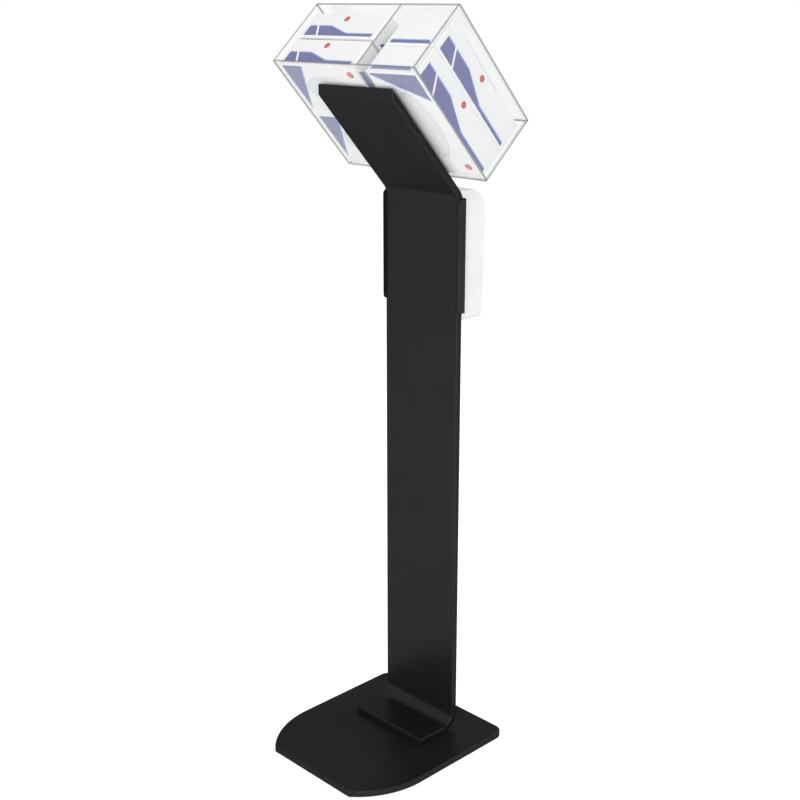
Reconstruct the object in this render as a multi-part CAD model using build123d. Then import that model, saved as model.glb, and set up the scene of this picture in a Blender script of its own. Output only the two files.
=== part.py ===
from build123d import *

import math
import os

# Hand-hygiene floor stand: a bent plate post with a clear carton holder and a touch-free dispenser.
#
# Units are millimetres and degrees. +Z is up, the user stands at -Y, and the origin is on the floor
# under the middle of the overall footprint. Three working frames keep the sizes simple:
#   the post frame   Y measured back from the post's rear face
#   the arm frame    (x, s, n): s runs up the tilted arm, n is square to it, towards the user
#   the dispenser    (x, h, q): h runs up from its underside, q runs forward from its mounting face

# Base plate and its pads
PLATE_T = 12.0
BASE_W = 323.0
BASE_FRONT = 72.0
BASE_REAR = 283.0
BASE_REAR_EDGE = 206.0
BASE_ARC_R = 165.0
BASE_FRONT_CORNER_R = 20.0
BASE_REAR_CORNER_R = 8.0
EDGE_BREAK = 1.0
PAD_R = 17.0
PAD_H = 2.5
PAD_INSET = 34.0

# Post, bent from one plate
POST_W = 180.0
FOOT_LEN = 85.0
FOOT_CORNER_R = 4.0
BEND_R = 22.0
ARM_BEND_Z = 1043.5
ARM_TILT = 42.4
ARM_LEN = 232.7

# Foot screws, countersunk, driven up from under the base
FOOT_SCREW_D = 8.0
FOOT_SCREW_HEAD_D = 16.0
FOOT_SCREW_BITE = 8.0
FOOT_SCREW_SPACING_X = 110.0
FOOT_SCREW_SPACING_Y = 30.0

# Dispenser bracket, a folded sheet channel that wraps the post's edges
SHEET_T = 2.0
BRACKET_Z = 840.5
BRACKET_H = 201.5
BRACKET_STANDOFF = 4.5
BRACKET_REAR_LAP = 4.5
BRACKET_BEND_R = 3.0
BRACKET_CORNER_R = 9.0
DIMPLE_R = 8.0
DIMPLE_SPACING_X = 150.0
DIMPLE_SPACING_Z = 150.0
BRACKET_SCREW_D = 5.0
BRACKET_SCREW_HEAD_D = 9.5
BRACKET_SCREW_HEAD_H = 2.75
BRACKET_SCREW_BITE = 8.0

# Cartons: wide ones lie across the left bay in two rows, tall ones stand in the right bay
CARTON_T = 57.5
WIDE_CARTON_L = 185.0
WIDE_CARTON_W = 120.6
TALL_CARTON_L = 235.0
TALL_CARTON_W = 114.0
CARTON_GAP = 0.4
WIDE_LAYER_GAP = 4.6
FLAP_T = 0.8
FLAP_INSET = 2.0

# Clear holder round the cartons
CLEAR_T = 4.0
HOLDER_LAP = 193.0
WIDE_BAY_SPARE = 17.4
TALL_BAY_SPARE = 4.4
FRONT_SPARE = 11.0
RIM_RISE = 8.4
GLUE_GAP = 0.1
WINDOW_W = 64.0
WIDE_WINDOW_MARGIN = 26.5
TALL_WINDOW_MARGIN = 32.5
HOLDER_SCREW_D = 5.0
HOLDER_SCREW_HEAD_D = 9.2
HOLDER_SCREW_BITE = 7.0
HOLDER_SCREW_SPACING_X = 110.0
HOLDER_SCREW_SPACING_S = 120.0

# Dispenser body
DISP_W = 130.0
DISP_H = 233.0
DISP_D = 81.5
DISP_DROP = 23.0
COVER_WALL = 2.5
COVER_REAR_GAP = 1.5
COVER_TAPER = 4.0
COVER_TOP_R = 36.0
COVER_CHIN_R = 10.0
COVER_SIDE_R = 6.0
LEVEL_WINDOW_L = 72.0
LEVEL_WINDOW_W = 12.0
LEVEL_WINDOW_DROP = 84.0
BACK_T = 3.0
BACK_INSET = 4.5
BACK_CORNER_R = 10.0
BACK_SCREW_D = 4.0
BACK_SCREW_HEAD_D = 7.6
BACK_SCREW_HEAD_H = 2.6
BACK_SCREW_TAIL = 2.0
BACK_SCREW_SPACING_X = 80.0
BACK_SCREW_RISE = 22.0
BACK_SCREW_DROP = 37.0

# Cover hinge and lock
HINGE_H = 10.5
HINGE_Q = 9.5
HINGE_PIN_D = 4.0
HINGE_BOSS_R = 5.0
BOSS_L = 5.0
LUG_T = 5.0
HEEL_CUT = 11.0
LOCK_Q = 24.0
LOCK_D = 13.0
LOCK_FLANGE_R = 8.5
LOCK_FLANGE_T = 2.0
LOCK_CAM_L = 20.0
LOCK_CAM_W = 6.0
LOCK_CAM_T = 3.0
LOCK_CAM_DROP = 12.0
KEY_SLOT_L = 8.0
KEY_SLOT_W = 1.0
KEY_SLOT_DEPTH = 3.0
KEEPER_T = 2.0
KEEPER_W = 9.0
KEEPER_GAP = 2.6

# Drive chassis under the bottle
CHASSIS_W = 90.0
CHASSIS_TOP = 100.0
CHASSIS_D = 63.0
CHASSIS_WALL = 2.0
CHASSIS_FLOOR_H = 10.0
SHELF_T = 3.0
CHIN_W = 42.0
CHIN_H = 0.5
CHIN_GAP = 1.0
NOZZLE_Q = 38.5
NOZZLE_D = 10.0
NOZZLE_TIP_D = 6.0
NOZZLE_BORE_D = 2.0
NOZZLE_FLANGE_D = 14.0
NOZZLE_FLANGE_T = 2.0
NOZZLE_DROP = 3.5
NOZZLE_RISE = 12.0
LENS_Q = 53.0
LENS_W = 24.0
LENS_L = 11.0
LENS_T = 2.5
LENS_LEDGE = 2.5

# Refill bottle
BOTTLE_W = 96.0
BOTTLE_D = 60.0
BOTTLE_HEADROOM = 15.0
BOTTLE_CORNER_R = 14.0
BOTTLE_BEVEL = 7.0
NECK_D = 25.0
CAP_D = 30.0
CAP_H = 12.0
CAP_DROP = 1.0
SPOUT_D = 7.0
SPOUT_L = 6.0

# Peristaltic pump
TUBE_D = 6.0
TUBE_LEAD = 1.5
TUBE_BEND_R = 6.0
PUMP_X = -16.0
PUMP_TRACK_R = 17.5
PUMP_TRACK_W = 14.0
PUMP_RIM = 5.0
PUMP_BACK_T = 3.0
PUMP_BACK_Q = 28.0
PUMP_LEG_R = 2.3
ROTOR_DISC_R = 12.0
ROTOR_DISC_T = 2.0
ROTOR_GAP = 8.0
ROLLER_D = 9.0
ROLLER_PIN_D = 2.0
ROLLER_COUNT = 3
SHAFT_D = 4.0
SHAFT_NOSE = 2.0
MOTOR_D = 24.0
MOTOR_L = 20.0
MOTOR_BEVEL = 2.0
MOTOR_TAIL_D = 9.6

# Batteries, switch and board
CELL_D = 14.5
CELL_L = 49.0
CELL_NUB_D = 5.5
CELL_NUB_H = 1.5
CELL_WALL = 2.0
CELL_WEB = 1.0
LID_T = 2.0
SWITCH_W = 18.0
SWITCH_H = 8.0
SWITCH_D = 5.0
SWITCH_KNOB_W = 5.0
SWITCH_KNOB_H = 4.0
SWITCH_KNOB_OUT = 3.0
SWITCH_SLOT_DEPTH = 2.5
SWITCH_TRAVEL = 4.0
BOARD_W = 54.0
BOARD_D = 16.0
BOARD_T = 1.6
BOARD_STANDOFF = 3.0
BOARD_POST_R = 2.5
CHIP_W = 8.0
CHIP_T = 1.6
SENSOR_R = 2.5

# Screw sockets, as shares of the shank, and flats on round stock
SOCKET_SHARE = 0.32
SOCKET_DEPTH_SHARE = 0.35
HEAD_TAPER_SHARE = 0.8
SMALL_FLAT_COUNT = 10
MEDIUM_FLAT_COUNT = 20
TUBE_FLAT_COUNT = 6
TUBE_STEP_ANGLE = 15.0
KEY_FLAT_COUNT = 6

# Clearances
RUN = 0.05
FIT = 0.3
THREAD = 0.1

# Places in the post frame
WEB_FRONT = PLATE_T + BRACKET_STANDOFF + SHEET_T
POST_Y = (WEB_FRONT + DISP_D - BASE_REAR) / 2
BASE_TOP = PAD_H + PLATE_T
FOOT_TOP = BASE_TOP + PLATE_T
TILT = math.radians(ARM_TILT)
BRACKET_MID_Z = BRACKET_Z + BRACKET_H / 2

# Holder and carton places in the arm frame
BAY_REAR_N = PLATE_T + CLEAR_T
WIDE_LAYERS_N = [BAY_REAR_N + CARTON_GAP + layer * (CARTON_T + WIDE_LAYER_GAP) for layer in range(2)]
TALL_LAYERS_N = [BAY_REAR_N + CARTON_GAP + layer * (CARTON_T + CARTON_GAP) for layer in range(2)]
BAY_FRONT_N = WIDE_LAYERS_N[-1] + CARTON_T + FRONT_SPARE
HOLDER_FRONT_N = BAY_FRONT_N + CLEAR_T
HOLDER_S = ARM_LEN - HOLDER_LAP
BAY_FLOOR_S = HOLDER_S + CLEAR_T
WIDE_ROWS_S = [BAY_FLOOR_S + row * (WIDE_CARTON_W + CARTON_GAP) for row in range(2)]
HOLDER_TOP_S = WIDE_ROWS_S[-1] + WIDE_CARTON_W + RIM_RISE
WIDE_BAY_W = WIDE_CARTON_L + CARTON_GAP + WIDE_BAY_SPARE
TALL_BAY_W = TALL_CARTON_W + 2 * TALL_BAY_SPARE
BAY_HALF = (WIDE_BAY_W + CLEAR_T + TALL_BAY_W) / 2
HOLDER_HALF = BAY_HALF + CLEAR_T
DIVIDER_X = BAY_HALF - WIDE_BAY_W - CLEAR_T
WIDE_CARTON_X = BAY_HALF - CARTON_GAP - WIDE_CARTON_L
TALL_CARTON_X = TALL_BAY_SPARE - BAY_HALF

# Places in the dispenser frame
COVER_HALF = DISP_W / 2
COVER_INNER = COVER_HALF - COVER_WALL
LUG_OUT = COVER_INNER - BOSS_L - FIT
LUG_IN = LUG_OUT - LUG_T
CAM_TOP = DISP_H - LOCK_CAM_DROP
CAM_LOW = CAM_TOP - LOCK_CAM_T
BOTTLE_TOP = CAM_LOW - BOTTLE_HEADROOM
CAM_SWEEP_R = math.hypot(LOCK_CAM_L, LOCK_CAM_W) / 2
CHASSIS_REAR = BACK_T
CHASSIS_FRONT = CHASSIS_REAR + CHASSIS_D
CHASSIS_BACK_WALL = CHASSIS_REAR + CHASSIS_WALL
CAP_TOP = CHASSIS_TOP - SHELF_T - CAP_DROP
SPOUT_END = CAP_TOP - CAP_H - SPOUT_L
TUBE_TOP_H = SPOUT_END - TUBE_LEAD - TUBE_BEND_R
PUMP_H = TUBE_TOP_H - PUMP_TRACK_R
NOZZLE_SEAT_H = CHASSIS_FLOOR_H + NOZZLE_FLANGE_T
NOZZLE_TOP = NOZZLE_SEAT_H + NOZZLE_RISE
ROTOR_Q = NOZZLE_Q - ROTOR_GAP / 2 - ROTOR_DISC_T
ROTOR_FRONT = NOZZLE_Q + ROTOR_GAP / 2 + ROTOR_DISC_T
ROLLER_ORBIT_R = PUMP_TRACK_R - TUBE_D / 2 - FIT - ROLLER_D / 2
CELL_BORE_R = CELL_D / 2 + FIT
CELL_PITCH = 2 * CELL_BORE_R + CELL_WEB
CASE_HALF = CELL_PITCH / 2 + CELL_BORE_R + CELL_WALL
CASE_FRONT = CHASSIS_BACK_WALL + 2 * CASE_HALF
CELL_LOW = CHASSIS_FLOOR_H + CELL_WALL
CELL_TOP = CELL_LOW + CELL_L
CASE_TOP = CELL_TOP + CELL_NUB_H + FIT
BATTERY_X = CHASSIS_W / 2 - CHASSIS_WALL - FIT - CASE_HALF
SWITCH_MID_H = (CHASSIS_FLOOR_H + CASE_TOP) / 2
BOARD_LOW = CHASSIS_FLOOR_H + BOARD_STANDOFF
BOARD_RIGHT = LENS_W / 2 + LENS_LEDGE
BOARD_LEFT = BOARD_RIGHT - BOARD_W

POST = Plane(origin=(0, POST_Y, 0))
ARM = Plane(origin=(0, POST_Y, ARM_BEND_Z), x_dir=(1, 0, 0), z_dir=(0, -math.cos(TILT), math.sin(TILT)))
DISP = Plane(origin=(0, POST_Y - WEB_FRONT, BRACKET_Z - DISP_DROP), x_dir=(1, 0, 0), z_dir=(0, -1, 0))
STAND_UP = Rot(-90, 0, 0)
TURN_OVER = Rot(180, 0, 0)
LOW_END = (Align.CENTER, Align.CENTER, Align.MIN)


def block(x, y, z):
    """A box from its low and high values on each axis."""
    size = [high - low for low, high in (x, y, z)]
    return Pos(x[0], y[0], z[0]) * Box(*size, align=(Align.MIN, Align.MIN, Align.MIN))


def centred(mid, width):
    """The low and high value of a width about its middle."""
    return (mid - width / 2, mid + width / 2)


def drum(radius, z):
    """A round cylinder along z, from its low to its high end."""
    return Pos(0, 0, z[0]) * Cylinder(radius, z[1] - z[0], align=LOW_END)


def rod(radius, z, flats=SMALL_FLAT_COUNT):
    """Small round stock along z, drawn with flats."""
    return Pos(0, 0, z[0]) * extrude(RegularPolygon(radius, flats), z[1] - z[0])


def cone(wide_r, narrow_r, height, flats=SMALL_FLAT_COUNT):
    """Small tapered stock that narrows along z from its wide end at z = 0, drawn with flats."""
    slope = math.atan((wide_r - narrow_r) * math.cos(math.pi / flats) / height)
    return extrude(RegularPolygon(wide_r, flats), height, taper=math.degrees(slope))


def upright(shape, x, q):
    """A shape drawn along z, stood along the dispenser's h axis at x and q."""
    return Pos(x, 0, q) * STAND_UP * shape


def on_hinge(shape, x):
    """A shape drawn along z, laid along the cover's hinge line from an x value."""
    return Pos(x, HINGE_H, HINGE_Q) * Rot(0, 90, 0) * shape


def grid(dx, dy, y_mid):
    """The four corners of a rectangle of hole centres."""
    return [(sx * dx / 2, y_mid + sy * dy / 2) for sx in (-1, 1) for sy in (-1, 1)]


def group(shapes):
    """Separate solids kept together in one node."""
    return Compound(children=[solid for shape in shapes for solid in shape.solids()])


def flat_head_screw(shank_d, head_d, length):
    """A countersunk screw along +z, with its head flush at z = 0 and its tip at z = length."""
    head = cone(head_d / 2, shank_d / 2, (head_d - shank_d) / 2)
    socket = rod(shank_d * SOCKET_SHARE, (0, shank_d * SOCKET_DEPTH_SHARE), KEY_FLAT_COUNT)
    return head + rod(shank_d / 2, (0, length)) - socket


def flat_head_hole(shank_d, head_d, length):
    """The clearance hole of a countersunk screw, along +z from the face that its head lies in."""
    shank_r, head_r = shank_d / 2 + FIT, head_d / 2 + FIT
    return cone(head_r, shank_r, head_r - shank_r) + rod(shank_r, (0, length))


def button_screw(shank_d, head_d, head_h, length):
    """A button-head screw along +z: its head stands below z = 0 and its shank runs up to z = length."""
    head = TURN_OVER * cone(head_d / 2, head_d / 2 * HEAD_TAPER_SHARE, head_h)
    socket = rod(shank_d * SOCKET_SHARE, (-head_h, -head_h + shank_d * SOCKET_DEPTH_SHARE), KEY_FLAT_COUNT)
    return head + rod(shank_d / 2, (0, length)) - socket


def foot_holes():
    """Centres of the foot screws, in the post frame."""
    return grid(FOOT_SCREW_SPACING_X, FOOT_SCREW_SPACING_Y, (BEND_R + FOOT_LEN) / 2)


def bracket_holes():
    """Centres of the bracket screws on the post's front face, as x and height."""
    return grid(DIMPLE_SPACING_X, DIMPLE_SPACING_Z, BRACKET_MID_Z)


def holder_holes():
    """Centres of the holder screws on the arm, as x and s."""
    return grid(HOLDER_SCREW_SPACING_X, HOLDER_SCREW_SPACING_S, (BEND_R + ARM_LEN) / 2)


def back_holes():
    """Centres of the screws in the dispenser's back plate, as x and h."""
    low, high = CHASSIS_TOP + BACK_SCREW_RISE, DISP_H - BACK_SCREW_DROP
    return grid(BACK_SCREW_SPACING_X, high - low, (low + high) / 2)


def make_base_plate():
    """Plate with rounded front corners and long curved rear corners."""
    half, rear_half = BASE_W / 2, BASE_REAR_EDGE / 2
    arc_x = half - BASE_ARC_R
    turn = math.acos((rear_half - arc_x) / BASE_ARC_R)
    arc_y = BASE_REAR - BASE_ARC_R * math.sin(turn)
    with BuildSketch() as outline:
        with BuildLine():
            Polyline((0, -BASE_FRONT), (half, -BASE_FRONT), (half, arc_y))
            curve = CenterArc((arc_x, arc_y), BASE_ARC_R, 0, math.degrees(turn))
            Line(curve @ 1, (0, BASE_REAR))
            mirror(about=Plane.YZ)
        make_face()
        corners = outline.vertices().filter_by(lambda vertex: abs(vertex.X) > FIT).group_by(Axis.Y)
        fillet(corners[0], BASE_FRONT_CORNER_R)
        fillet(corners[-1], BASE_REAR_CORNER_R)
    plate = extrude(outline.sketch, PLATE_T)
    flats = plate.faces().sort_by(Axis.Z)
    plate = chamfer(flats[0].edges() + flats[-1].edges(), EDGE_BREAK)
    hole = flat_head_hole(FOOT_SCREW_D, FOOT_SCREW_HEAD_D, PLATE_T)
    for x, y in foot_holes():
        plate -= Pos(x, y, 0) * hole
    return POST * Pos(0, 0, PAD_H) * plate


def make_base_pads():
    """Four low rubber pads: two near the front corners, two where the rear edge ends."""
    front = [(side * (BASE_W / 2 - PAD_INSET), PAD_INSET - BASE_FRONT) for side in (-1, 1)]
    rear = [(side * (BASE_REAR_EDGE - PAD_INSET) / 2, BASE_REAR - PAD_INSET) for side in (-1, 1)]
    pad = rod(PAD_R, (0, PAD_H), MEDIUM_FLAT_COUNT)
    return group([POST * Pos(x, y, 0) * pad for x, y in front + rear])


def make_foot_screws():
    """Countersunk screws that hold the post's foot on the base."""
    screw = flat_head_screw(FOOT_SCREW_D, FOOT_SCREW_HEAD_D, PLATE_T + FOOT_SCREW_BITE)
    return group([POST * Pos(x, y, PAD_H) * screw for x, y in foot_holes()])


def make_post():
    """One plate bent twice: a foot, an upright and a tilted arm with a plumb-cut end."""
    end = (ARM_LEN * math.sin(TILT), ARM_BEND_Z + ARM_LEN * math.cos(TILT))
    rear = [(FOOT_LEN, FOOT_TOP), (0, FOOT_TOP), (0, ARM_BEND_Z), end]
    front = [
        (end[0], end[1] + PLATE_T / math.sin(TILT)),
        (-PLATE_T, ARM_BEND_Z + PLATE_T * math.tan(TILT / 2)),
        (-PLATE_T, BASE_TOP),
        (FOOT_LEN, BASE_TOP),
    ]
    with BuildSketch(Plane.YZ) as profile:
        with BuildLine():
            FilletPolyline(*rear, radius=BEND_R)
            Line(rear[-1], front[0])
            FilletPolyline(*front, radius=BEND_R + PLATE_T)
            Line(front[-1], rear[0])
        make_face()
    post = extrude(profile.sketch, POST_W / 2, both=True)
    foot_end = post.faces().filter_by(Axis.Y).sort_by(Axis.Z)[0]
    post = fillet(foot_end.edges().filter_by(Axis.Z), FOOT_CORNER_R)
    sides = post.faces().sort_by(Axis.X)
    post = chamfer(sides[0].edges() + sides[-1].edges(), EDGE_BREAK)
    foot_tap = rod(FOOT_SCREW_D / 2 + THREAD, (0, FOOT_SCREW_BITE + FIT))
    for x, y in foot_holes():
        post -= Pos(x, y, BASE_TOP) * foot_tap
    bracket_tap = rod(BRACKET_SCREW_D / 2 + THREAD, (0, BRACKET_SCREW_BITE + FIT))
    for x, z in bracket_holes():
        post -= Pos(x, -PLATE_T, z) * STAND_UP * bracket_tap
    post = POST * post
    holder_tap = rod(HOLDER_SCREW_D / 2 + THREAD, (PLATE_T - HOLDER_SCREW_BITE - FIT, PLATE_T))
    for x, s in holder_holes():
        post -= ARM * Pos(x, s, 0) * holder_tap
    return post


def make_bracket():
    """Folded channel: a web stood off the post on pressed dimples, with flanges round its edges."""
    inner = POST_W / 2 + FIT
    outer = inner + SHEET_T
    rear, web_rear = BRACKET_REAR_LAP, SHEET_T - WEB_FRONT
    with BuildSketch() as section:
        with BuildLine():
            outside = [(-outer, rear), (-outer, -WEB_FRONT), (outer, -WEB_FRONT), (outer, rear)]
            inside = [(inner, rear), (inner, web_rear), (-inner, web_rear), (-inner, rear)]
            FilletPolyline(*outside, radius=BRACKET_BEND_R)
            Line(outside[-1], inside[0])
            FilletPolyline(*inside, radius=BRACKET_BEND_R - SHEET_T)
            Line(inside[-1], outside[0])
        make_face()
    bracket = Pos(0, 0, BRACKET_Z) * extrude(section.sketch, BRACKET_H)
    rear_corners = bracket.edges().filter_by(Axis.X).group_by(Axis.Y)[-1]
    bracket = fillet(rear_corners, BRACKET_CORNER_R)
    for x, z in bracket_holes():
        spot = Pos(x, -WEB_FRONT, z) * STAND_UP
        bracket += spot * rod(DIMPLE_R + SHEET_T, (SHEET_T, WEB_FRONT - PLATE_T), MEDIUM_FLAT_COUNT)
        bracket -= spot * rod(DIMPLE_R, (0, BRACKET_STANDOFF), MEDIUM_FLAT_COUNT)
        bracket -= spot * rod(BRACKET_SCREW_D / 2 + FIT, (0, WEB_FRONT))
    bracket = POST * bracket
    for x, h in back_holes():
        bracket -= DISP * Pos(x, h, 0) * rod(BACK_SCREW_D / 2 + THREAD, (-SHEET_T, 0))
    return bracket


def make_bracket_screws():
    """Button-head screws sunk in the bracket's dimples."""
    length = SHEET_T + BRACKET_SCREW_BITE
    screw = button_screw(BRACKET_SCREW_D, BRACKET_SCREW_HEAD_D, BRACKET_SCREW_HEAD_H, length)
    seat = BRACKET_STANDOFF - WEB_FRONT
    return group([POST * Pos(x, seat, z) * STAND_UP * screw for x, z in bracket_holes()])


def make_holder_back():
    """Rear panel, screwed flat to the arm."""
    panel = block((-HOLDER_HALF, HOLDER_HALF), (HOLDER_S, HOLDER_TOP_S), (PLATE_T, BAY_REAR_N))
    hole = TURN_OVER * flat_head_hole(HOLDER_SCREW_D, HOLDER_SCREW_HEAD_D, CLEAR_T)
    for x, s in holder_holes():
        panel -= Pos(x, s, BAY_REAR_N) * hole
    return ARM * panel


def make_holder_screws():
    """Countersunk screws through the rear panel into the arm."""
    screw = flat_head_screw(HOLDER_SCREW_D, HOLDER_SCREW_HEAD_D, CLEAR_T + HOLDER_SCREW_BITE)
    return group([ARM * Pos(x, s, BAY_REAR_N) * TURN_OVER * screw for x, s in holder_holes()])


def make_holder_front():
    """Front panel with a rounded window in front of each stack of cartons."""
    panel = block((-HOLDER_HALF, HOLDER_HALF), (HOLDER_S, HOLDER_TOP_S), (BAY_FRONT_N, HOLDER_FRONT_N))
    across = extrude(SlotOverall(WIDE_CARTON_L - 2 * WIDE_WINDOW_MARGIN, WINDOW_W), CLEAR_T)
    for s in WIDE_ROWS_S:
        panel -= Pos(WIDE_CARTON_X + WIDE_CARTON_L / 2, s + WIDE_CARTON_W / 2, BAY_FRONT_N) * across
    along = extrude(SlotOverall(TALL_CARTON_L - 2 * TALL_WINDOW_MARGIN, WINDOW_W, rotation=90), CLEAR_T)
    panel -= Pos(TALL_CARTON_X + TALL_CARTON_W / 2, BAY_FLOOR_S + TALL_CARTON_L / 2, BAY_FRONT_N) * along
    return ARM * panel


def make_holder_wall(x, s):
    """A wall between the rear and front panels, one sheet thick along x, up to the holder's rim."""
    depth = (BAY_REAR_N + GLUE_GAP, BAY_FRONT_N - GLUE_GAP)
    return ARM * block((x, x + CLEAR_T), (s, HOLDER_TOP_S), depth)


def make_holder_floor():
    """Floor sheet that the cartons stand on."""
    across = (GLUE_GAP - BAY_HALF, BAY_HALF - GLUE_GAP)
    return ARM * block(across, (HOLDER_S, BAY_FLOOR_S), (BAY_REAR_N + GLUE_GAP, BAY_FRONT_N - GLUE_GAP))


def make_carton(length, width):
    """A folded card carton about its own middle, with a tuck flap on each end of its long side."""
    body = Box(length - 2 * FLAP_T, width, CARTON_T)
    body = chamfer(body.edges(), FLAP_T)
    flap = Box(length, width - 2 * FLAP_INSET, CARTON_T - 2 * FLAP_INSET)
    return body + flap


def make_wide_carton(row, layer):
    """A carton that lies across the wide bay."""
    middle = (WIDE_CARTON_X + WIDE_CARTON_L / 2, WIDE_ROWS_S[row] + WIDE_CARTON_W / 2)
    return ARM * Pos(*middle, WIDE_LAYERS_N[layer] + CARTON_T / 2) * make_carton(WIDE_CARTON_L, WIDE_CARTON_W)


def make_tall_carton(layer):
    """A carton that stands on its end in the tall bay."""
    middle = (TALL_CARTON_X + TALL_CARTON_W / 2, BAY_FLOOR_S + TALL_CARTON_L / 2)
    stood = Rot(0, 0, 90) * make_carton(TALL_CARTON_L, TALL_CARTON_W)
    return ARM * Pos(*middle, TALL_LAYERS_N[layer] + CARTON_T / 2) * stood


def keeper_prongs():
    """Two prongs that the lock's cam turns in behind, hollowed where the cam sweeps."""
    top = CAM_LOW - KEEPER_T / 2
    lip_rear = LOCK_Q + LOCK_CAM_W / 2 + FIT
    reach = LOCK_Q + CAM_SWEEP_R + FIT + KEEPER_T
    prongs = []
    for side in (-1, 1):
        inner = LOCK_CAM_W / 2 + KEEPER_GAP
        across = sorted((side * inner, side * (inner + KEEPER_W)))
        prongs.append(block(across, (top - KEEPER_T, top), (BACK_T, reach)))
        lip = block(across, (top - KEEPER_T, CAM_TOP), (lip_rear, reach))
        prongs.append(lip - upright(rod(CAM_SWEEP_R + FIT, (top, CAM_TOP), MEDIUM_FLAT_COUNT), 0, LOCK_Q))
    return prongs


def make_back_plate():
    """Moulded back plate with the hinge lugs and the lock's keeper prongs."""
    outline = RectangleRounded(DISP_W - 2 * BACK_INSET, DISP_H - 2 * BACK_INSET, BACK_CORNER_R)
    plate = Pos(0, DISP_H / 2, 0) * extrude(outline, BACK_T)
    for x, h in back_holes():
        plate -= Pos(x, h, 0) * rod(BACK_SCREW_D / 2 + FIT, (0, BACK_T))
    for side in (-1, 1):
        across = sorted((side * LUG_IN, side * LUG_OUT))
        plate += block(across, centred(HINGE_H, 2 * HINGE_BOSS_R), (BACK_T, HINGE_Q + HINGE_BOSS_R))
    for prong in keeper_prongs():
        plate += prong
    return DISP * (plate - on_hinge(rod(HINGE_PIN_D / 2 + RUN, (-COVER_HALF, COVER_HALF)), 0))


def make_back_screws():
    """Button-head screws through the back plate into the bracket's web."""
    length = BACK_T + SHEET_T + BACK_SCREW_TAIL
    screw = button_screw(BACK_SCREW_D, BACK_SCREW_HEAD_D, BACK_SCREW_HEAD_H, length)
    return group([DISP * Pos(x, h, BACK_T) * TURN_OVER * screw for x, h in back_holes()])


def cover_profile(inset, rear):
    """The cover's form without its rounded sides: a tapered front, a big crown and a small chin radius."""
    low, high = inset, DISP_H - inset
    slope = COVER_TAPER / (DISP_H - COVER_TOP_R)
    chin_q = DISP_D - COVER_TAPER - inset
    with BuildSketch(Plane.YZ) as profile:
        with BuildLine():
            front = [(height, chin_q + slope * height) for height in (low, high)]
            Polyline((low, rear), *front, (high, rear), close=True)
        make_face()
        crown = profile.vertices().sort_by(Axis.Y)[-1]
        fillet(crown, COVER_TOP_R - inset)
        chin = profile.vertices().group_by(Axis.X)[0].sort_by(Axis.Y)[-1]
        fillet(chin, COVER_CHIN_R - inset)
    return extrude(profile.sketch, COVER_HALF - inset, both=True)


def side_rims(form, rear):
    """The edges round both side faces, apart from those along the open back."""
    sides = form.faces().sort_by(Axis.X)
    edges = sides[0].edges() + sides[-1].edges()
    return [edge for edge in edges if edge.center().Z > rear + FIT]


def cover_shell():
    """The cover's wall, open at the back."""
    outer = cover_profile(0, COVER_REAR_GAP)
    outer = fillet(side_rims(outer, COVER_REAR_GAP), COVER_SIDE_R)
    return outer - cover_profile(COVER_WALL, 0)


def level_slot(clearance):
    """The level window's outline as a bar through the cover's front."""
    slot = SlotOverall(LEVEL_WINDOW_L - 2 * clearance, LEVEL_WINDOW_W - 2 * clearance, rotation=90)
    return Pos(0, DISP_H - LEVEL_WINDOW_DROP, DISP_D / 2) * extrude(slot, DISP_D)


def make_cover():
    """Hinged front cover: one moulded shell, open at the back and cut away under the chin and the hinge."""
    shell = cover_shell()
    for span in ((-COVER_INNER, BOSS_L - COVER_INNER), (COVER_INNER - BOSS_L, COVER_INNER)):
        shell += on_hinge(rod(HINGE_BOSS_R, span, MEDIUM_FLAT_COUNT), 0)
    shell -= on_hinge(drum(HINGE_PIN_D / 2 + RUN, (-COVER_INNER, COVER_INNER)), 0)
    underside = (-COVER_WALL, HINGE_H - HINGE_BOSS_R - FIT)
    shell -= block(centred(0, CHIN_W + 2 * CHIN_GAP), underside, (0, CHASSIS_FRONT + 2 * CHIN_GAP))
    shell -= block((-COVER_INNER, COVER_INNER), underside, (0, HINGE_Q + HEEL_CUT))
    shell -= upright(drum(LOCK_D / 2 + RUN, (CAM_TOP, DISP_H + COVER_WALL)), 0, LOCK_Q)
    return DISP * (shell - level_slot(0))


def make_level_window():
    """Clear strip that fills the slot in the cover's front."""
    return DISP * (cover_shell() & level_slot(GLUE_GAP))


def make_hinge_pins():
    """Two plain pins, held in the back plate's lugs, that the cover turns on."""
    pin = rod(HINGE_PIN_D / 2, (0, COVER_INNER - FIT - LUG_IN))
    return group([DISP * on_hinge(pin, x) for x in (FIT - COVER_INNER, LUG_IN)])


def make_lock():
    """Quarter-turn lock: a barrel flush with the cover's top, and the cam bar on a stem under it."""
    flange_top = DISP_H - COVER_WALL - FIT
    flange_low = flange_top - LOCK_FLANGE_T
    lock = upright(drum(LOCK_D / 2, (flange_low, DISP_H)), 0, LOCK_Q)
    lock += upright(rod(LOCK_FLANGE_R, (flange_low, flange_top), MEDIUM_FLAT_COUNT), 0, LOCK_Q)
    lock += upright(rod(LOCK_CAM_W / 2, (CAM_TOP, flange_low)), 0, LOCK_Q)
    lock += block(centred(0, LOCK_CAM_W), (CAM_LOW, CAM_TOP), centred(LOCK_Q, LOCK_CAM_L))
    lock -= block(centred(0, KEY_SLOT_W), (DISP_H - KEY_SLOT_DEPTH, DISP_H), centred(LOCK_Q, KEY_SLOT_L))
    return DISP * lock


def board_posts():
    """Places of the two posts that carry the board, as x."""
    return (BOARD_LEFT + 2 * BOARD_POST_R, -LENS_W / 2 - 2 * BOARD_POST_R)


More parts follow.
